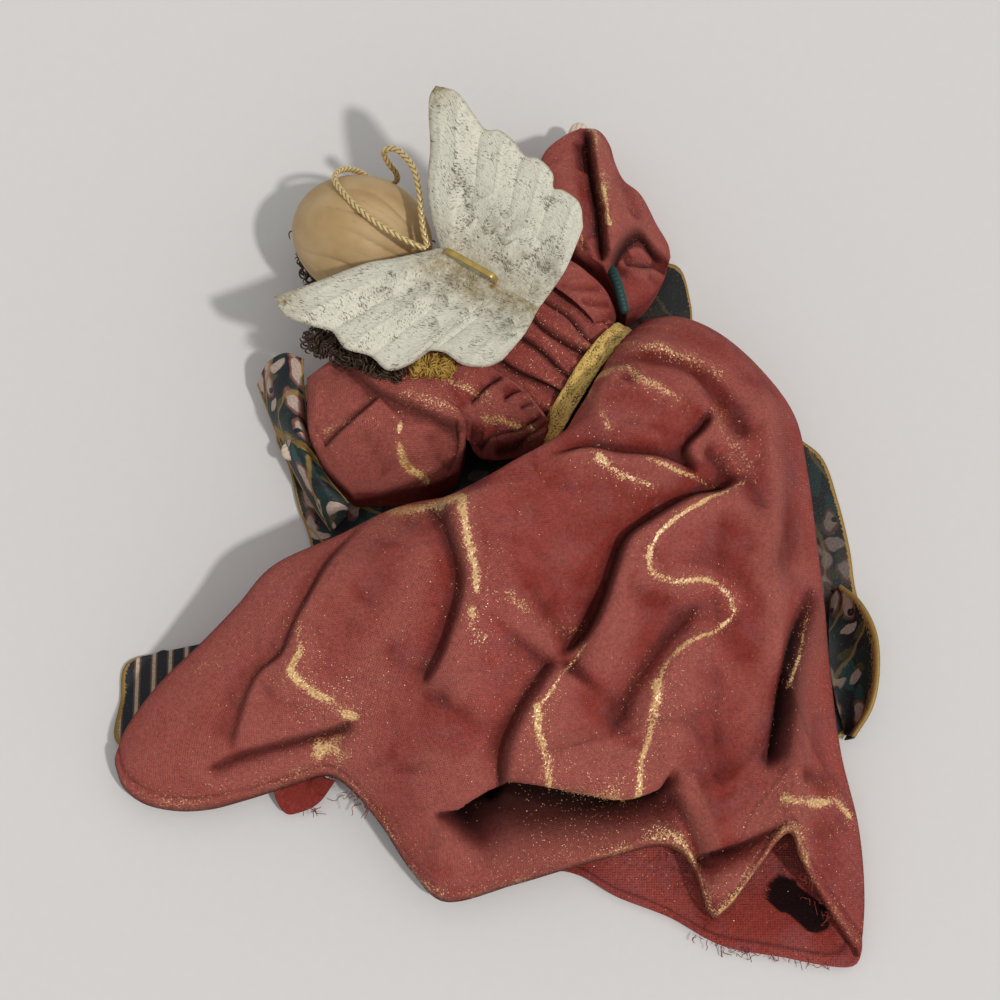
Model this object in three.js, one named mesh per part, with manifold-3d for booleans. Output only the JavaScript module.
// An angel tree topper of stiffened cloth, lying face down on a table with its back up.
// Millimetres. +Z is up out of the back, +Y runs towards the head end, and the origin is
// the middle of the underside. Outlines and routes are given on one working plan, whose
// zero the last lines of this file move to that origin.
import * as THREE from "three";
import { mergeVertices } from "three/addons/utils/BufferGeometryUtils.js";
import Module from "manifold-3d";

const wasm = await Module();
wasm.setup();

// Fits
const GAP = 0.3; // air between two pieces that touch
const SEAT = 0.5; // how far a wire's bore is longer than the wire in it

// Cloth, thick as the stiffened layers stand
const ROBE_CLOTH = 1.2;
const FRONT_CLOTH = 1.2;
const SKIRT_CLOTH = 1.6;
const BODICE_CLOTH = 1.8;
const CUFF_CLOTH = 1.6;
const HEAD_CLOTH = 0.9;

// Body line, from the waist towards the neck
const WAIST = [22.5, 24.5];
const WAIST_HEIGHT = 21;
const BODY_HEADING = 145; // degrees from +X
const TORSO_LENGTH = 46; // waist to shoulders
const TORSO_DEPTH = 30; // chest to back
const TORSO_WIDTH = 35; // side to side
const TORSO_FOOT = 4; // how far the core reaches below the waist
const ROUND_SIDES = 24;

// Belt ribbon
const BELT_WIDTH = 6;
const BELT_THICK = 1;
const BODICE_TUCK = 2.5; // bodice cloth that runs below the waist line, under the belt

// Head
const HEAD_CENTRE = [-36.5, 65.8];
const HEAD_HEIGHT = 22;
const HEAD_HEADING = 157; // degrees from +X, nape to crown
const HEAD_LENGTH = 38;
const HEAD_WIDTH = 32;
const HEAD_DEPTH = 34;
const HEAD_STEPS = 12;
const NECK_DIAMETER = 6;
const NECK_LENGTH = 34; // from the middle of the head to its end in the torso
const NECK_IN_HEAD = 8; // where it starts, past the middle of the head towards the crown
const TIE_WIDTH = 3;
const TIE_THICK = 2;

// Hair round the face and the clump at the left shoulder
const HAIR_RING_HEIGHT = 5;
const HAIR_RING_THICK = 5;
const CLUMP_CENTRE = [-31, 29.5];
const CLUMP_LENGTH = 34;
const CLUMP_WIDTH = 11;
const CLUMP_DEPTH = 7;
const CLUMP_HEADING = -24; // degrees from +X

// Arms and hands
const ARM_WIRE = 2.4;
const SHOULDER_UP = 30; // from the waist along the body line
const ARM_START = 8; // from the body line, inside the torso
const RIGHT_ARM = [[9.3, 58.1, 21], [12, 68, 19], [16, 84, 14], [19, 93, 10.5]];
const LEFT_ARM = [[-13.5, 25.3, 21], [-25, 19, 18], [-38, 14.5, 13], [-48.5, 12.2, 9.5]];
const HAND_LENGTH = 9;
const HAND_WIDTH = 6;
const HAND_DEPTH = 4.5;
const WIRE_SIDES = 8;

// Tree cone inside the skirt, its mouth towards the hem
const CONE_X = 29;
const CONE_HEIGHT = 22;
const CONE_TOP = 2; // where the closed end lies on the plan
const CONE_LENGTH = 48;
const CONE_TOP_RADIUS = 8;
const CONE_MOUTH_RADIUS = 14;
const CONE_WALL = 1.2;
const PLUG_LENGTH = 8;
const SPINE_WIRE = 3;
const SPINE_IN_TORSO = 14;
const SPINE_BEND = 8; // how far past the torso the wire bends towards the cone

// Wings, one casting: each half is a sheet between its root, leading, outer and trailing edge
const WING_THICK = 2.4;
const WING_STANDOFF = 4; // room between the back and the casting
const WING_OVERLAP = 2; // how far the left half runs into the right one at the root
const RIGHT_WING_SLOPE = 0.26; // climb for each millimetre away from the root line
const LEFT_WING_SLOPE = 0.05;
const RIGHT_ROOT = [[-15.2, 54.5], [-3.5, 46.5], [9.8, 38.4]];
const RIGHT_LEADING = [[-15.2, 54.5], [-17.6, 63], [-18.5, 71], [-17.8, 80], [-18.2, 88], [-17.9, 93], [-16.4, 95.4]];
const RIGHT_TRAILING = [[9.8, 38.4], [12.5, 41.8], [16.5, 47.5], [19, 53], [21, 58]];
const RIGHT_OUTER = [
  [-16.4, 95.4], [-11.2, 93.6], [-7.1, 88.4], [-3.5, 83.6], [-0.3, 83.3], [3.3, 80.5], [6.5, 76.5],
  [9.8, 75.6], [13.4, 71.5], [13.6, 68], [15.7, 67.5], [20, 64], [21, 58],
];
const LEFT_ROOT = [[-16.2, 53.8], [-4.2, 45.7], [8.6, 37.4]];
const LEFT_LEADING = [[-16.2, 53.8], [-26.3, 51.8], [-33.1, 50.5], [-47.1, 44.8], [-57, 40.8]];
const LEFT_TRAILING = [[8.6, 37.4], [6.8, 32.3], [4, 28.4], [0.5, 24.2]];
const LEFT_OUTER = [
  [-57, 40.8], [-54.2, 36], [-46.2, 32.7], [-42.2, 31.6], [-38.8, 27.1], [-32.4, 25], [-28, 21.3],
  [-22.5, 22.9], [-18, 26.4], [-14.3, 26.3], [-9.2, 22.9], [-3, 22.6], [0.5, 24.2],
];
const WING_STEPS = [22, 6]; // along the root, root to rim
const PAD_LENGTH = 16;
const PAD_WIDTH = 9;
const PAD_CENTRE = [-2.5, 42.5];

// Wire bail over the valley between the wings
const BAIL_ENDS = [[-14.2, 52.8], [-0.8, 44.8]];
const BAIL_WIDTH = 1.6;
const BAIL_THICK = 0.9;
const BAIL_RISE = 3;

// Halo cord, tied at the nape and lying over the head, and its knot
const CORD_DIAMETER = 1.7;
const CORD_STEPS = 60;
const CORD_ROUTE = [
  [-18.9, 55.4, 40.9], [-22, 56.6, 41.2], [-26, 58.8, 41.4], [-31, 62, 41.2], [-36, 66.3, 40.7],
  [-40, 71, 39.3], [-42.8, 76, 36.6], [-42.6, 79.6, 33.6], [-40.4, 82.4, 29.4], [-37.4, 83.9, 24],
  [-34.6, 84, 19], [-32, 83.8, 16.7], [-29.6, 83.5, 17.2], [-27.6, 82.8, 21], [-27.6, 82.8, 26.4],
  [-29.4, 83.6, 31], [-30.2, 84.9, 35.4], [-27.6, 84.6, 37.6], [-24.6, 81.6, 39.4], [-22.2, 77.4, 40.6], [-20.9, 72, 41.4],
  [-20.3, 66, 41.7], [-19.6, 60.4, 41.5], [-18.4, 56, 41],
];
const KNOT_DIAMETER = 4;
const KNOT = [-16, 53.6];

// Skirt back: edges as [x, y, height], then its crown and main folds
const SKIRT_WAIST = [[14.4, 6.6, 24], [18.9, 12, 36], [23.8, 20, 40.5], [29.4, 29.6, 38.5], [37.6, 42.8, 22]];
const SKIRT_LEFT = [
  [14.4, 6.6, 24], [6, -1.4, 28], [-8, -6.6, 30], [-25.3, -10.4, 32], [-40.7, -17.8, 32], [-57.5, -25.4, 30],
  [-66, -34.5, 27], [-75, -43, 23], [-87, -53.4, 17], [-95.9, -64.4, 11], [-98.7, -71.6, 7],
];
const SKIRT_RIGHT = [
  [37.6, 42.8, 22], [47, 42.8, 24], [57.6, 38.8, 22], [69.5, 29.1, 18], [77.8, 18.6, 13], [81, 4, 10],
  [82.7, -12.5, 9], [84, -28.6, 9], [85.3, -49.8, 8], [87.2, -69.1, 7.5], [91, -88, 7], [91.8, -105, 6.5],
  [90.4, -120, 6],
];
const SKIRT_HEM = [
  [-98.7, -71.6, 7], [-96.4, -77.3, 7], [-91.3, -81.4, 7], [-83.1, -83.4, 7], [-74.2, -83.2, 7.5],
  [-64.6, -80.9, 8.5], [-53.3, -77.6, 10], [-43, -75.5, 13], [-37.6, -79, 13], [-30.3, -87.3, 11],
  [-22.2, -99.1, 9], [-14.5, -106.3, 8.5], [3.5, -102.4, 10], [16.6, -98.7, 11.5], [29.7, -95.3, 12.5],
  [39.9, -93.1, 13], [45.2, -94.4, 12], [48.8, -98.7, 10], [53.1, -110.6, 7], [57.2, -108.1, 9],
  [63.5, -100, 14.5], [71.6, -90.7, 22], [74.4, -96.2, 18], [79.7, -104.7, 10], [85.5, -113.3, 7], [90.4, -120, 6],
];
const SKIRT_CROWN = 20; // how far the middle of the cloth stands over the level between its edges
const SKIRT_ROUND = 0.6; // below 1 the cloth climbs fast at its edges and is flat on top
const SKIRT_WALL = 0.03; // share of the cloth's breadth that drops from each side edge to the table
const SKIRT_STEPS = [34, 29]; // across, waist to hem
const SKIRT_CREASES = [
  { line: [[-30, -10], [-43, -27], [-54, -48], [-63, -57], [-68, -70]], rise: 1.6, drop: 2, flank: 4, crest: 13, foot: 6 },
  { line: [[-36, -64], [-50, -67], [-66, -71], [-75, -75]], rise: 1.2, drop: 3, flank: 5, crest: 5, foot: 4 },
  { line: [[-16, -10], [-13, -21], [-10, -33], [-15, -50], [-20, -58]], rise: 2.6, drop: 6, flank: 5, crest: 13, foot: 10 },
  { line: [[61, -3], [48, -10], [35, -18], [27, -29], [21, -45]], rise: 3.4, drop: 9, flank: 8, crest: 12, foot: 14 },
  { line: [[53, -3], [30, -1], [21, 0], [11, -3]], rise: 1.5, drop: 3, flank: 4, crest: 10, foot: 4 },
  { line: [[50, -36], [35, -53], [27, -70]], rise: 3, drop: 5, flank: 7.5, crest: 12, foot: 11 },
  { line: [[13, -50], [2, -67], [-3, -83]], rise: 3, drop: 6, flank: 8.5, crest: 12, foot: 11 },
  { line: [[45, -76], [30, -80.5], [15, -78.5], [-1, -77.5], [-17, -88]], rise: 1.5, drop: 11, flank: 15, crest: 8, foot: 4 },
  { line: [[73, -88], [60, -92.5], [47, -97]], rise: 1.2, drop: 6, flank: 7, crest: 5, foot: 4 },
  { line: [[81, -26], [74, -40], [69, -56], [66, -77]], rise: 3, drop: 7, flank: 6, crest: 9, foot: 7 },
  { line: [[53, 12], [47, 4], [46, -2], [50, -5]], rise: 1.8, drop: 4, flank: 4, crest: 5, foot: 4 },
];
const CREASE_TAPER = 0.15; // share of a crease over which it fades at each end
const SKIRT_RIDGES = [
  { line: [[-50, -42], [-51, -54], [-41, -60], [-35, -63]], rise: 1.7, left: 4.5, right: 4.5 },
  { line: [[36, -25], [39, -32.5], [53, -32], [59, -40]], rise: 1.8, left: 4, right: 4 },
  { line: [[66, 24], [71, -1], [66, -25], [61, -36]], rise: 2.8, left: 6, right: 6 },
  { line: [[75, 17], [74.5, -9], [66, -33]], rise: -2.2, left: 4, right: 4 },
  { line: [[23, 30], [35, 24], [53, 18], [61, 4]], rise: -3, left: 4, right: 4 },
];

// Skirt front, the lower layer, and the printed robe under it
const FRONT_OUTLINE = [
  [36, 40], [57, 36], [68, 28], [76, 18], [79, 4], [81, -15], [83, -50], [86, -72], [90, -90], [91, -108],
  [91, -119], [89, -122], [69, -119.5], [56, -117], [43, -110], [30, -105], [17, -98.5], [-14, -101],
  [-30, -84], [-43, -73], [-64, -78.5], [-83, -81], [-93, -77], [-96, -71], [-94, -65], [-71, -42],
  [-40, -20.5], [-8, -9], [12, 4],
];
const ROBE_OUTLINE = [
  [30, 80], [42, 68], [49, 65.5], [52, 55], [53, 47], [62, 36], [80, 17], [86, 11.5], [90, -1], [92.5, -14],
  [93.5, -24], [96, -36], [96, -48], [93, -58.5], [88, -64], [50, -84], [0, -82], [-40, -66], [-70, -66],
  [-99, -65.5], [-98.6, -54], [-97.5, -44.5], [-84, -41.5], [-76, -42], [-58, -28], [-50, -16], [-54, -1],
  [-56.5, 9], [-60, 18], [-52, 32], [-30, 38], [-10, 56], [8, 72],
];
const FOLD_INNER = [[87.5, -30, 2], [87.9, -42, 2], [88.7, -55, 2], [90, -63, 2]];
const FOLD_OUTER = [[91, -24, 5], [96.4, -36, 10], [96, -50, 10], [91.5, -64, 5]];
const FOLD_STEPS = [5, 10];

// Sleeves and cuff: edges as [x, y, height] and the crown over them
const RIGHT_SLEEVE_TOP = [[9, 80, 30], [12, 87.6, 29], [17.3, 92.2, 26], [25, 98.6, 20]];
const RIGHT_SLEEVE_FOOT = [[33.6, 46.6, 18], [39.4, 51, 13], [44, 58.7, 8], [46.2, 66, 8]];
const RIGHT_SLEEVE_INNER = [[9, 80, 30], [10, 70, 31], [15, 63.5, 32], [23.5, 57.2, 31], [29.6, 52.4, 28], [33.6, 46.6, 18]];
const RIGHT_SLEEVE_OUTER = [[25, 98.6, 20], [30.6, 93.8, 17], [32.5, 87.3, 15], [38.1, 83.2, 11], [42.1, 75.3, 9], [46.2, 66, 8]];
const RIGHT_SLEEVE_CROWN = 8;
const LEFT_SLEEVE_TOP = [[-50, 27, 19], [-42, 31, 26], [-30, 34, 29], [-19, 33.5, 31]];
const LEFT_SLEEVE_FOOT = [[-38.4, -2.2, 12], [-26, -2.4, 14], [-17, -0.6, 15], [-10.5, 2.8, 17]];
const LEFT_SLEEVE_INNER = [[-19, 33.5, 31], [-13.4, 24.5, 34], [-10.6, 19, 34], [-8.6, 12, 30], [-10.5, 2.8, 17]];
const LEFT_SLEEVE_OUTER = [[-50, 27, 19], [-49.2, 18, 17], [-48.4, 11, 15], [-45, 4.5, 13], [-38.4, -2.2, 12]];
const LEFT_SLEEVE_CROWN = 9;
const SLEEVE_STEPS = [9, 10];
const SLEEVE_ROUND = 0.7;
const RIGHT_SLEEVE_FOLD = { line: [[24.5, 93], [27, 80], [27.5, 71], [28, 61]], rise: 6, left: 6, right: 5 };
const LEFT_SLEEVE_FOLD = { line: [[-40, 27], [-31, 20], [-20, 15], [-12, 14]], rise: 4, left: 5, right: 6 };
const CUFF_HEAD = [[-64.8, 29.6, 8], [-61.5, 33.4, 15], [-56, 34.6, 20], [-51.4, 32.6, 21]];
const CUFF_FOOT = [[-44.6, -10.2, 6], [-42, -9.4, 10], [-40, -7.6, 12], [-39.4, -4, 12.5]];
const CUFF_OUTER = [[-64.8, 29.6, 8], [-60.6, 19, 7], [-55, 6.5, 6.5], [-50, -2.4, 6], [-44.6, -10.2, 6]];
const CUFF_INNER = [[-51.4, 32.6, 21], [-51, 25, 20], [-50.2, 18, 18], [-49.4, 11, 16.5], [-46, 4, 14.5], [-39.4, -4, 12.5]];
const CUFF_STEPS = [6, 10];
const CUFF_CROWN = 4;

// Green band in the seam of the right sleeve
const BAND_LINE = [[30.4, 53.2], [31.6, 48.5], [32.6, 44.6]];
const BAND_WIDTH = 2.2;
const BAND_FOOT = 19;
const BAND_TOP = 27;

// Colours of the finishes
const RED_CLOTH = 0xa04644;
const PRINTED_CLOTH = 0x1c2a30;
const TAN_CLOTH = 0xb09264;
const CREAM_CASTING = 0xdedecd;
const GOLD_RIBBON = 0xb89a48;
const GOLD_CORD = 0xb9964f;
const BRASS_WIRE = 0xc8b964;
const GREEN_RIBBON = 0x195550;
const BROWN_HAIR = 0x5a4126;
const BARE_WOOD = 0xb98f5a;
const GREY_CARD = 0x9b9384;
const STEEL = 0x8a8c90;
const WHITE_WADDING = 0xe6e2d8;
const SKIN_PAINT = 0xe0bfa2;

const radians = THREE.MathUtils.degToRad;
const mix = THREE.MathUtils.lerp;
const solids = {};

// A plan direction, as a unit vector lying flat.
const heading = (degrees) => new THREE.Vector3(Math.cos(radians(degrees)), Math.sin(radians(degrees)), 0);

// A smooth curve through points given as [x, y] or [x, y, z].
function smooth(points) {
  const places = points.map(([x, y, z = 0]) => new THREE.Vector3(x, y, z));
  return new THREE.CatmullRomCurve3(places, false, "centripetal");
}

// A closed mesh as a solid that can be joined and cut.
function solidOf(geometry) {
  const bare = new THREE.BufferGeometry();
  bare.setAttribute("position", geometry.getAttribute("position"));
  bare.setIndex(geometry.index);
  const merged = mergeVertices(bare, 1e-4);
  const vertProperties = merged.getAttribute("position").array;
  const triVerts = new Uint32Array(merged.index.array);
  return new wasm.Manifold(new wasm.Mesh({ numProp: 3, vertProperties, triVerts }));
}

// The mesh geometry of a joined or cut solid.
function geometryOf(solid) {
  const mesh = solid.getMesh();
  const geometry = new THREE.BufferGeometry();
  geometry.setAttribute("position", new THREE.BufferAttribute(mesh.vertProperties, 3));
  geometry.setIndex(new THREE.BufferAttribute(mesh.triVerts, 1));
  geometry.computeVertexNormals();
  return geometry;
}

const cut = (geometry, ...tools) =>
  geometryOf(tools.reduce((solid, tool) => solid.subtract(solidOf(tool)), solidOf(geometry)));

// A sheet stretched between four edge curves that meet at its corners. The first two run
// from the left edge to the right one, at the near and the far end; u and v go from 0 to 1.
function sheetBetween(near, far, left, right) {
  const [nearCurve, farCurve, leftCurve, rightCurve] = [near, far, left, right].map(smooth);
  return (u, v) => {
    const across = nearCurve.getPointAt(u).lerp(farCurve.getPointAt(u), v);
    const along = leftCurve.getPointAt(v).lerp(rightCurve.getPointAt(v), u);
    const nearSide = nearCurve.getPointAt(0).lerp(nearCurve.getPointAt(1), u);
    const farSide = farCurve.getPointAt(0).lerp(farCurve.getPointAt(1), u);
    return across.add(along).sub(nearSide.lerp(farSide, v));
  };
}

// Where a plan point lies from a line: how far from it, on which side of it (1 left, -1 right)
// and at which share of it.
function fromLine(line, x, y) {
  const legs = line.length - 1;
  let found = { distance: Infinity, side: 0, share: 0 };
  for (let i = 0; i < legs; i++) {
    const [ax, ay] = line[i];
    const [dx, dy] = [line[i + 1][0] - ax, line[i + 1][1] - ay];
    const leg = THREE.MathUtils.clamp(((x - ax) * dx + (y - ay) * dy) / (dx * dx + dy * dy), 0, 1);
    const [ex, ey] = [x - ax - leg * dx, y - ay - leg * dy];
    const distance = Math.hypot(ex, ey);
    if (distance >= found.distance) continue;
    const side = distance ? (dx * ey - dy * ex) / (Math.hypot(dx, dy) * distance) : 0;
    found = { distance, side, share: (i + leg) / legs };
  }
  return found;
}

// Height that a ridge, or with a negative rise a valley, adds at a plan point, with its own
// breadth on each side of its line.
function ridgeHeight({ line, rise, left, right }, x, y) {
  const { distance, side } = fromLine(line, x, y);
  const breadth = mix(right, left, (side + 1) / 2);
  return rise * Math.exp(-((distance / breadth) ** 2));
}

// Height that a crease adds at a plan point: the cloth falls by drop towards the line from its
// right, climbs the flank on its left to rise over its old height and falls back over the crest.
function creaseHeight({ line, rise, drop, flank, crest, foot }, x, y) {
  const { distance, side, share } = fromLine(line, x, y);
  const ends = Math.min(share, 1 - share);
  const fade = THREE.MathUtils.smoothstep(ends, 0, CREASE_TAPER);
  if (side < 0) return -fade * drop * Math.exp(-distance / foot);
  if (distance > flank) return fade * rise * Math.exp(-(((distance - flank) / crest) ** 2));
  return fade * mix(rise, -drop, (1 - distance / flank) ** 2);
}

// A closed solid between two sheets, each given as a function of the two steps' shares.
function solidBetween(columns, rows, upper, lower) {
  const points = [];
  const index = [];
  const place = (layer, i, j) => layer * columns.length * rows.length + i * rows.length + j;
  const quad = (a, b, c, d) => index.push(a, b, c, a, c, d);
  for (const sheet of [upper, lower])
    for (const u of columns)
      for (const v of rows) points.push(...sheet(u, v).toArray());
  const lastColumn = columns.length - 1;
  const lastRow = rows.length - 1;
  for (let i = 0; i < lastColumn; i++)
    for (let j = 0; j < lastRow; j++) {
      quad(place(0, i, j), place(0, i + 1, j), place(0, i + 1, j + 1), place(0, i, j + 1));
      quad(place(1, i, j), place(1, i, j + 1), place(1, i + 1, j + 1), place(1, i + 1, j));
    }
  for (let i = 0; i < lastColumn; i++) {
    quad(place(0, i, 0), place(1, i, 0), place(1, i + 1, 0), place(0, i + 1, 0));
    quad(place(0, i + 1, lastRow), place(1, i + 1, lastRow), place(1, i, lastRow), place(0, i, lastRow));
  }
  for (let j = 0; j < lastRow; j++) {
    quad(place(0, 0, j + 1), place(1, 0, j + 1), place(1, 0, j), place(0, 0, j));
    quad(place(0, lastColumn, j), place(1, lastColumn, j), place(1, lastColumn, j + 1), place(0, lastColumn, j + 1));
  }
  const geometry = new THREE.BufferGeometry();
  geometry.setAttribute("position", new THREE.Float32BufferAttribute(points, 3));
  geometry.setIndex(facingOut(points, index));
  geometry.computeVertexNormals();
  return geometry;
}

// Turns every triangle round where the mesh they close is inside out.
function facingOut(points, index) {
  const corner = (k) => new THREE.Vector3().fromArray(points, 3 * index[k]);
  let volume = 0;
  for (let k = 0; k < index.length; k += 3) volume += corner(k).dot(corner(k + 1).cross(corner(k + 2)));
  return volume > 0 ? index : index.reverse();
}

const shares = (count) => Array.from({ length: count + 1 }, (_, i) => i / count);

// A lathe solid turned about a flat axis: the profile is [radius, distance along the axis].
function turned(profile, [x, y], height, degrees, widthRatio = 1, sides = ROUND_SIDES) {
  const points = profile.map(([radius, along]) => new THREE.Vector2(radius, along));
  const geometry = new THREE.LatheGeometry(points, sides);
  const axis = heading(degrees);
  const up = new THREE.Vector3(0, 0, 1);
  const aside = new THREE.Vector3().crossVectors(axis, up).multiplyScalar(widthRatio);
  const frame = new THREE.Matrix4().makeBasis(aside, axis, up);
  return geometry.applyMatrix4(frame.setPosition(x, y, height));
}

// A round bar along a curve.
function bar(curve, diameter, steps, sides = WIRE_SIDES) {
  const section = new THREE.Shape();
  for (const share of shares(sides).slice(1))
    section.lineTo(Math.cos(2 * Math.PI * share) * (diameter / 2), Math.sin(2 * Math.PI * share) * (diameter / 2));
  section.curves.shift();
  return new THREE.ExtrudeGeometry(section, { steps, extrudePath: curve });
}

// A flat plate with an outline on the plan, from one height to another.
function plate(outline, foot, thickness) {
  const shape = new THREE.Shape(outline.map(([x, y]) => new THREE.Vector2(x, y)));
  return new THREE.ExtrudeGeometry(shape, { depth: thickness, bevelEnabled: false }).translate(0, 0, foot);
}

// An egg shape: a sphere stretched to three sizes, turned on the plan.
function egg([x, y], height, degrees, length, width, depth) {
  const ball = new THREE.SphereGeometry(0.5, ROUND_SIDES / 2, HEAD_STEPS / 2).rotateZ(Math.PI / 2);
  return ball.scale(length, width, depth).rotateZ(radians(degrees)).translate(x, y, height);
}

// Half of an oval, from one end of its long axis to the other, as a lathe profile.
function ovalProfile(length, depth, from, to) {
  return shares(HEAD_STEPS).map((share) => {
    const angle = mix(from, to, share);
    return [(depth / 2) * Math.sin(angle), (length / 2) * Math.cos(angle)];
  });
}

function addNode(name, geometry, color, roughness, metalness = 0) {
  const material = new THREE.MeshStandardMaterial({ color, roughness, metalness });
  const mesh = new THREE.Mesh(geometry, material);
  mesh.name = name;
  solids[name] = mesh;
}

// Heights that follow from the layers
const frontFoot = ROBE_CLOTH + GAP;
const layerTop = frontFoot + FRONT_CLOTH + GAP;
const bodyAxis = heading(BODY_HEADING);
const bodySide = new THREE.Vector3().crossVectors(bodyAxis, new THREE.Vector3(0, 0, 1));
const torsoRatio = TORSO_WIDTH / TORSO_DEPTH;
const torsoRadius = TORSO_DEPTH / 2;
const bodiceTop = WAIST_HEIGHT + torsoRadius + GAP + BODICE_CLOTH;
const headTop = HEAD_HEIGHT + HEAD_DEPTH / 2;
const wingUnder = Math.max(bodiceTop, headTop) + WING_STANDOFF;

// Outline of the torso: shares of its length and of its full radius.
const TORSO_RATIOS = [[0.62, 0.98], [0.86, 0.84], [1, 0.56], [0.94, 0.26], [0.86, 0]];
const TORSO_FOOT_SHARE = 0.8;
const torsoLine = [
  ...TORSO_RATIOS.map(([radius, along]) => [radius * torsoRadius, along * TORSO_LENGTH]),
  [TORSO_FOOT_SHARE * torsoRadius, -TORSO_FOOT],
];
const offsetLine = (line, out) => line.map(([radius, along]) => [radius + out, along]);

// Straight round tools and bars between two points.
const straight = (from, to) => new THREE.LineCurve3(from, to);
const along = (start, direction, distance) => start.clone().addScaledVector(direction, distance);

const waist = new THREE.Vector3(...WAIST, WAIST_HEIGHT);
const headMiddle = new THREE.Vector3(...HEAD_CENTRE, HEAD_HEIGHT);
const headAxis = heading(HEAD_HEADING);
const neckStart = along(headMiddle, headAxis, NECK_IN_HEAD);
const neckEnd = along(headMiddle, headAxis, -NECK_LENGTH);
const neckTool = (diameter) =>
  bar(straight(along(neckStart, headAxis, SEAT), along(neckEnd, headAxis, -SEAT)), diameter, 1, ROUND_SIDES);
const neckBore = () => neckTool(NECK_DIAMETER + 2 * GAP);

// Arms: from inside the torso, out along the shoulder, then by their route.
function armCurve(route, side) {
  const shoulder = along(waist, bodyAxis, SHOULDER_UP);
  const start = along(shoulder, bodySide, side * ARM_START);
  return smooth([start.toArray(), ...route]);
}
const ARM_STEPS = 14;
const rightArm = armCurve(RIGHT_ARM, 1);
const leftArm = armCurve(LEFT_ARM, -1);

// The same arm as a cutting tool, a little thicker and longer.
function armBore(curve) {
  const points = curve.getPoints(ARM_STEPS);
  const first = points[0].clone().addScaledVector(curve.getTangent(0), -SEAT);
  const last = points[ARM_STEPS].clone().addScaledVector(curve.getTangent(1), SEAT);
  const longer = new THREE.CatmullRomCurve3([first, ...points, last]);
  return bar(longer, ARM_WIRE + 2 * GAP, 2 * ARM_STEPS);
}

function buildTorso() {
  const boreRadius = SPINE_WIRE / 2 + GAP;
  const boreTop = SPINE_IN_TORSO + SEAT;
  const profile = [[0, TORSO_LENGTH], ...torsoLine, [boreRadius, -TORSO_FOOT], [boreRadius, boreTop], [0, boreTop]];
  const core = turned(profile.reverse(), WAIST, WAIST_HEIGHT, BODY_HEADING, torsoRatio);
  addNode("torso_core", cut(core, neckBore(), armBore(rightArm), armBore(leftArm)), WHITE_WADDING, 0.9);

  const upper = torsoLine.slice(0, -1);
  const line = [...upper, [upper.at(-1)[0], -BODICE_TUCK]];
  const shell = [...offsetLine(line, GAP), ...offsetLine(line, GAP + BODICE_CLOTH).reverse()];
  const bodice = turned([...shell, shell[0]], WAIST, WAIST_HEIGHT, BODY_HEADING, torsoRatio);
  addNode("bodice", cut(bodice, neckBore(), armBore(rightArm), armBore(leftArm)), RED_CLOTH, 0.85);

  const beltInner = upper.at(-1)[0] + 2 * GAP + BODICE_CLOTH;
  const beltOuter = beltInner + BELT_THICK;
  const beltFoot = -BELT_WIDTH / 2;
  const ring = [[beltInner, beltFoot], [beltOuter, beltFoot], [beltOuter, -beltFoot], [beltInner, -beltFoot]];
  const belt = turned([...ring, ring[0]], WAIST, WAIST_HEIGHT, BODY_HEADING, torsoRatio);
  addNode("belt_ribbon", belt, GOLD_RIBBON, 0.4, 0.6);
}

// The outer shape of the dressed torso, as a tool that clears it.
function torsoClearance() {
  const out = 2 * GAP + BODICE_CLOTH + BELT_THICK;
  const line = offsetLine(torsoLine, out);
  const profile = [[0, TORSO_LENGTH + out], ...line, [0, -TORSO_FOOT]];
  return turned(profile.reverse(), WAIST, WAIST_HEIGHT, BODY_HEADING, torsoRatio);
}

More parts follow.
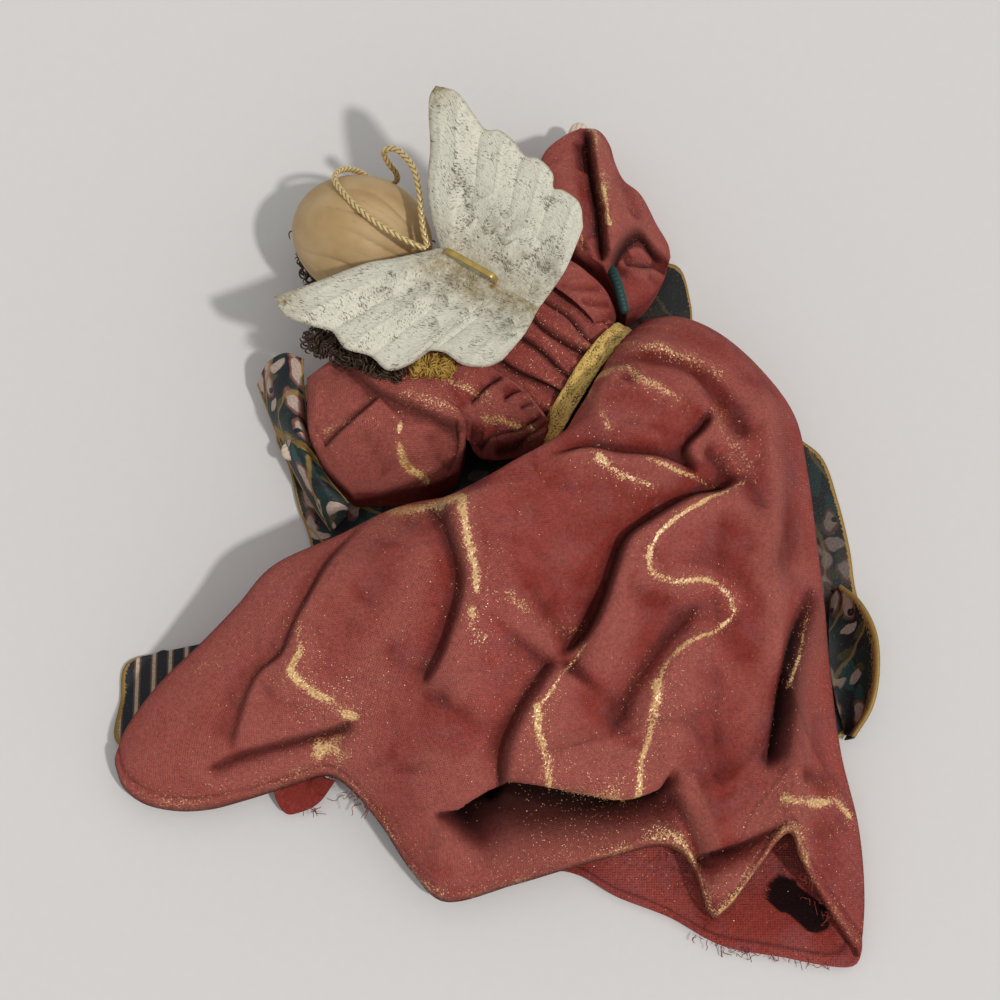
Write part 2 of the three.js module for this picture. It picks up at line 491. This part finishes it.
function buildHead() {
  const ratio = HEAD_WIDTH / HEAD_DEPTH;
  const coverInset = 2 * HEAD_CLOTH;
  const coreInset = coverInset + 2 * GAP;
  const core = ovalProfile(HEAD_LENGTH - coreInset, HEAD_DEPTH - coreInset, Math.PI, 0);
  const coreSolid = turned(core, HEAD_CENTRE, HEAD_HEIGHT, HEAD_HEADING, ratio);
  addNode("head_core", cut(coreSolid, neckBore()), WHITE_WADDING, 0.9);

  const mouth = NECK_DIAMETER / 2 + GAP + HEAD_CLOTH;
  const open = Math.PI - Math.asin((2 * mouth) / HEAD_DEPTH);
  const outside = ovalProfile(HEAD_LENGTH, HEAD_DEPTH, open, 0);
  const inside = ovalProfile(HEAD_LENGTH - coverInset, HEAD_DEPTH - coverInset, 0, open);
  const cover = turned([...outside, ...inside, outside[0]], HEAD_CENTRE, HEAD_HEIGHT, HEAD_HEADING, ratio);
  addNode("head_cover", cover, TAN_CLOTH, 0.8);

  const neck = bar(straight(neckStart, neckEnd), NECK_DIAMETER, 1, ROUND_SIDES / 2);
  addNode("neck_dowel", neck, BARE_WOOD, 0.7);

  const tieInner = NECK_DIAMETER / 2 + GAP;
  const tieNear = -HEAD_LENGTH / 2 - GAP;
  const tie = [[tieInner, tieNear - TIE_WIDTH], [tieInner + TIE_THICK, tieNear - TIE_WIDTH]];
  const tieRing = [...tie, [tieInner + TIE_THICK, tieNear], [tieInner, tieNear]];
  addNode("neck_tie", turned([...tieRing, tieRing[0]], HEAD_CENTRE, HEAD_HEIGHT, HEAD_HEADING), TAN_CLOTH, 0.8);

  const ringOuter = egg(HEAD_CENTRE, HEAD_HEIGHT, HEAD_HEADING, HEAD_LENGTH + HAIR_RING_THICK,
    HEAD_WIDTH + HAIR_RING_THICK, HEAD_DEPTH + HAIR_RING_THICK);
  const clearLine = ovalProfile(HEAD_LENGTH + 2 * GAP, HEAD_DEPTH + 2 * GAP, Math.PI, 0);
  const clearHead = turned(clearLine, HEAD_CENTRE, HEAD_HEIGHT, HEAD_HEADING, ratio);
  const clearTie = neckTool(NECK_DIAMETER + 4 * GAP + 2 * TIE_THICK);
  const low = headMiddle.z - HEAD_DEPTH / 2 + HAIR_RING_THICK;
  const slice = new THREE.BoxGeometry(2 * HEAD_LENGTH, 2 * HEAD_LENGTH, HAIR_RING_HEIGHT);
  slice.translate(HEAD_CENTRE[0], HEAD_CENTRE[1], low + HAIR_RING_HEIGHT / 2);
  const ring = geometryOf(solidOf(ringOuter).intersect(solidOf(slice)));
  addNode("hair_ring", cut(ring, clearHead, clearTie, torsoClearance()), BROWN_HAIR, 0.7);
}

// Height of the underside of the wings at a plan point: two planes that meet at the root line.
function wingFloor(x, y) {
  const [[ax, ay], , [bx, by]] = RIGHT_ROOT;
  const away = ((bx - ax) * (y - ay) - (by - ay) * (x - ax)) / Math.hypot(bx - ax, by - ay);
  return wingUnder + Math.abs(away) * (away > 0 ? RIGHT_WING_SLOPE : LEFT_WING_SLOPE);
}

function wingHalf(root, outer, leading, trailing, inset) {
  const plan = sheetBetween(root, outer, leading, trailing);
  const [columns, rows] = WING_STEPS.map(shares);
  const normal = new THREE.Vector3(...root.at(-1), 0).sub(new THREE.Vector3(...root[0], 0)).normalize();
  const inwards = new THREE.Vector3(-normal.y, normal.x, 0);
  const sheet = (lift) => (u, v) => {
    const point = plan(u, v);
    if (v === 0) point.addScaledVector(inwards, inset);
    point.z = wingFloor(point.x, point.y) + lift;
    return point;
  };
  return solidBetween(columns, rows, sheet(WING_THICK), sheet(0));
}

function buildWings() {
  const right = wingHalf(RIGHT_ROOT, RIGHT_OUTER, RIGHT_LEADING, RIGHT_TRAILING, 0);
  const left = wingHalf(LEFT_ROOT, LEFT_OUTER, LEFT_LEADING, LEFT_TRAILING, WING_OVERLAP);
  addNode("wings", geometryOf(solidOf(right).add(solidOf(left))), CREAM_CASTING, 0.6);

  const padFoot = bodiceTop + GAP;
  const padDepth = wingUnder - GAP - padFoot;
  const pad = new THREE.BoxGeometry(PAD_LENGTH, PAD_WIDTH, padDepth).rotateZ(radians(BODY_HEADING));
  addNode("wing_pad", pad.translate(...PAD_CENTRE, padFoot + padDepth / 2), WHITE_WADDING, 0.6);

  const [from, to] = BAIL_ENDS.map(([x, y]) => new THREE.Vector3(x, y, wingFloor(x, y) + WING_THICK + GAP));
  const length = from.distanceTo(to);
  const shape = new THREE.Shape();
  shape.moveTo(0, 0);
  shape.lineTo(BAIL_THICK, 0);
  shape.lineTo(BAIL_THICK, BAIL_RISE - BAIL_THICK);
  shape.lineTo(length - BAIL_THICK, BAIL_RISE - BAIL_THICK);
  shape.lineTo(length - BAIL_THICK, 0);
  shape.lineTo(length, 0);
  shape.lineTo(length, BAIL_RISE);
  shape.lineTo(0, BAIL_RISE);
  const bail = new THREE.ExtrudeGeometry(shape, { depth: BAIL_WIDTH, bevelEnabled: false });
  bail.rotateX(Math.PI / 2).translate(0, BAIL_WIDTH / 2, 0);
  bail.rotateZ(Math.atan2(to.y - from.y, to.x - from.x)).translate(from.x, from.y, Math.max(from.z, to.z));
  addNode("wing_bail", bail, BRASS_WIRE, 0.35, 0.8);
}

// Height of the skirt's cloth over the level between its edges: the crown and the folds.
function skirtSheet() {
  const between = sheetBetween(SKIRT_WAIST, SKIRT_HEM, SKIRT_LEFT, SKIRT_RIGHT);
  const arch = (share) => Math.sin(Math.PI * share) ** SKIRT_ROUND;
  return (s, v) => {
    const u = THREE.MathUtils.clamp((s - SKIRT_WALL) / (1 - 2 * SKIRT_WALL), 0, 1);
    const point = between(u, v);
    const crown = arch(u) * arch(v);
    point.z += SKIRT_CROWN * crown;
    const inside = Math.min(1, crown * 2);
    const { x, y } = point;
    for (const ridge of SKIRT_RIDGES) point.z += inside * ridgeHeight(ridge, x, y);
    for (const crease of SKIRT_CREASES) point.z += inside * creaseHeight(crease, x, y);
    const drop = Math.max(0, SKIRT_WALL - s, s - 1 + SKIRT_WALL) / SKIRT_WALL;
    point.z = mix(point.z, layerTop, drop);
    return point;
  };
}

// The same sheet moved inwards by its thickness, square to the surface.
function innerSide(sheet, thickness) {
  const nudge = 0.004;
  const inside = (share) => THREE.MathUtils.clamp(share, nudge, 1 - nudge);
  return (s, v) => {
    const across = sheet(inside(s) + nudge, v).sub(sheet(inside(s) - nudge, v));
    const along = sheet(s, inside(v) + nudge).sub(sheet(s, inside(v) - nudge));
    const normal = across.cross(along).normalize();
    const outwards = normal.z < 0 ? -1 : 1;
    const point = sheet(s, v).addScaledVector(normal, -outwards * thickness);
    return point.setZ(Math.max(point.z, layerTop));
  };
}

function buildSkirt() {
  const sheet = skirtSheet();
  const [across, down] = SKIRT_STEPS;
  const inner = shares(across - 2).map((share) => mix(SKIRT_WALL, 1 - SKIRT_WALL, share));
  const columns = [0, ...inner, 1];
  const back = solidBetween(columns, shares(down), sheet, innerSide(sheet, SKIRT_CLOTH));
  addNode("skirt_back", cut(back, torsoClearance()), RED_CLOTH, 0.85);
  addNode("skirt_front", plate(FRONT_OUTLINE, frontFoot, FRONT_CLOTH), RED_CLOTH, 0.85);
}

function buildRobe() {
  addNode("robe_front", plate(ROBE_OUTLINE, 0, ROBE_CLOTH), PRINTED_CLOTH, 0.8);
  const near = [FOLD_INNER[0], FOLD_OUTER[0]];
  const far = [FOLD_INNER.at(-1), FOLD_OUTER.at(-1)];
  const plan = sheetBetween(near, far, FOLD_INNER, FOLD_OUTER);
  const lifted = (u, v) => plan(u, v).add(new THREE.Vector3(0, 0, frontFoot));
  const floor = (u, v) => plan(u, v).setZ(frontFoot);
  const [columns, rows] = FOLD_STEPS.map(shares);
  addNode("robe_fold", solidBetween(columns, rows, lifted, floor), PRINTED_CLOTH, 0.8);
}

// A stuffed sleeve: a crowned sheet between its edges, flat underneath.
function sleeve(near, far, left, right, crown, fold) {
  const between = sheetBetween(near, far, left, right);
  const arch = (share) => Math.sin(Math.PI * share) ** SLEEVE_ROUND;
  const upper = (u, v) => {
    const point = between(u, v);
    const share = arch(u) * arch(v);
    point.z += share * (crown + ridgeHeight(fold, point.x, point.y));
    return point;
  };
  const lower = (u, v) => between(u, v).setZ(frontFoot);
  const [columns, rows] = SLEEVE_STEPS.map(shares);
  return solidBetween(columns, rows, upper, lower);
}

// A hand past the end of its arm; room makes it the tool that clears it.
function hand(curve, room) {
  const end = curve.getPoint(1);
  const out = curve.getTangent(1).setZ(0).normalize();
  const centre = along(end, out, HAND_LENGTH / 2 + GAP);
  const turn = THREE.MathUtils.radToDeg(Math.atan2(out.y, out.x));
  const more = 2 * room;
  return egg([centre.x, centre.y], end.z, turn, HAND_LENGTH + more, HAND_WIDTH + more, HAND_DEPTH + more);
}

function buildSleeves() {
  const body = torsoClearance();
  const rightSleeve = sleeve(RIGHT_SLEEVE_TOP, RIGHT_SLEEVE_FOOT, RIGHT_SLEEVE_INNER, RIGHT_SLEEVE_OUTER,
    RIGHT_SLEEVE_CROWN, RIGHT_SLEEVE_FOLD);
  const leftSleeve = sleeve(LEFT_SLEEVE_TOP, LEFT_SLEEVE_FOOT, LEFT_SLEEVE_OUTER, LEFT_SLEEVE_INNER,
    LEFT_SLEEVE_CROWN, LEFT_SLEEVE_FOLD);
  const rightTools = [body, armBore(rightArm), hand(rightArm, GAP), bandSolid(GAP)];
  addNode("sleeve_right", cut(rightSleeve, ...rightTools), RED_CLOTH, 0.85);
  const leftTools = [body, armBore(leftArm), hand(leftArm, GAP), clumpSolid(GAP)];
  addNode("sleeve_left", cut(leftSleeve, ...leftTools), RED_CLOTH, 0.85);
  addNode("arm_wire_right", bar(rightArm, ARM_WIRE, ARM_STEPS), STEEL, 0.4, 0.9);
  addNode("arm_wire_left", bar(leftArm, ARM_WIRE, ARM_STEPS), STEEL, 0.4, 0.9);
  addNode("hand_right", hand(rightArm, 0), SKIN_PAINT, 0.6);
  addNode("hand_left", hand(leftArm, 0), SKIN_PAINT, 0.6);

  const between = sheetBetween(CUFF_HEAD, CUFF_FOOT, CUFF_OUTER, CUFF_INNER);
  const upper = (u, v) => {
    const point = between(u, v);
    point.z += CUFF_CROWN * Math.sin(Math.PI * u);
    return point;
  };
  const [columns, rows] = CUFF_STEPS.map(shares);
  const cuff = solidBetween(columns, rows, upper, innerSide(upper, CUFF_CLOTH));
  addNode("cuff_left", cut(cuff, hand(leftArm, GAP)), PRINTED_CLOTH, 0.8);
  addNode("sleeve_band", geometryOf(solidOf(bandSolid(0)).subtract(solidOf(body))), GREEN_RIBBON, 0.6);
}

// The green band stands in the seam; room widens it to make the slot that it sits in.
function bandSolid(room) {
  const curve = smooth(BAND_LINE);
  const across = (u, v) => {
    const point = curve.getPointAt(v);
    const side = curve.getTangentAt(v);
    const out = (u - 0.5) * (BAND_WIDTH + 2 * room);
    return point.add(new THREE.Vector3(-side.y, side.x, 0).multiplyScalar(out));
  };
  const upper = (u, v) => across(u, v).setZ(BAND_TOP + (room ? BAND_TOP : 0));
  const lower = (u, v) => across(u, v).setZ(BAND_FOOT - room);
  return solidBetween(shares(1), shares(6), upper, lower);
}

// The clump of hair under the left wing; room makes it the tool that clears it.
function clumpSolid(room) {
  const height = wingUnder - GAP - CLUMP_DEPTH / 2;
  const more = 2 * room;
  return egg(CLUMP_CENTRE, height, CLUMP_HEADING, CLUMP_LENGTH + more, CLUMP_WIDTH + more, CLUMP_DEPTH + more);
}

function buildHairClump() {
  addNode("hair_clump", cut(clumpSolid(0), torsoClearance()), BROWN_HAIR, 0.7);
}

function buildCone() {
  const mouthEnd = CONE_TOP - CONE_LENGTH;
  const innerAt = (y) => mix(CONE_TOP_RADIUS, CONE_MOUTH_RADIUS, (CONE_TOP - y) / CONE_LENGTH) - CONE_WALL;
  const wall = [
    [innerAt(mouthEnd), mouthEnd], [innerAt(mouthEnd) + CONE_WALL, mouthEnd],
    [CONE_TOP_RADIUS, CONE_TOP], [innerAt(CONE_TOP), CONE_TOP],
  ];
  const centre = [CONE_X, 0];
  addNode("tree_cone", turned([...wall, wall[0]], centre, CONE_HEIGHT, 90), GREY_CARD, 0.9);

  const bore = SPINE_WIRE / 2 + GAP;
  const plugEnd = CONE_TOP - PLUG_LENGTH;
  const plug = [
    [bore, plugEnd], [innerAt(plugEnd) - GAP, plugEnd], [innerAt(CONE_TOP) - GAP, CONE_TOP], [bore, CONE_TOP],
  ];
  addNode("cone_plug", turned([...plug, plug[0]], centre, CONE_HEIGHT, 90), BARE_WOOD, 0.7);

  const inTorso = along(waist, bodyAxis, SPINE_IN_TORSO);
  const leaves = along(waist, bodyAxis, -TORSO_FOOT);
  const bend = along(waist, bodyAxis, -TORSO_FOOT - SPINE_BEND);
  const enters = new THREE.Vector3(CONE_X, CONE_TOP, CONE_HEIGHT);
  const ends = new THREE.Vector3(CONE_X, plugEnd, CONE_HEIGHT);
  const spine = new THREE.CurvePath();
  spine.add(new THREE.LineCurve3(inTorso, leaves));
  spine.add(new THREE.CubicBezierCurve3(leaves, bend, new THREE.Vector3(CONE_X, bend.y, CONE_HEIGHT), enters));
  spine.add(new THREE.LineCurve3(enters, ends));
  const SPINE_STEPS = 24;
  addNode("spine_wire", bar(spine, SPINE_WIRE, SPINE_STEPS), STEEL, 0.4, 0.9);
}

function buildHalo() {
  addNode("halo_cord", bar(smooth(CORD_ROUTE), CORD_DIAMETER, CORD_STEPS), GOLD_CORD, 0.4, 0.6);
  const knotHeight = wingUnder - GAP - KNOT_DIAMETER / 2;
  const knot = egg(KNOT, knotHeight, HEAD_HEADING, KNOT_DIAMETER, KNOT_DIAMETER, KNOT_DIAMETER);
  addNode("halo_knot", knot, GOLD_CORD, 0.4, 0.6);
}

buildTorso();
buildHead();
buildWings();
buildSkirt();
buildRobe();
buildSleeves();
buildHairClump();
buildCone();
buildHalo();

const topper = new THREE.Group();
topper.add(...Object.values(solids));
const reach = new THREE.Box3();
for (const mesh of Object.values(solids)) if (mesh.name !== "halo_cord") reach.expandByObject(mesh, true);
const middle = reach.getCenter(new THREE.Vector3());
topper.position.set(-middle.x, -middle.y, -reach.min.z);

export default topper;
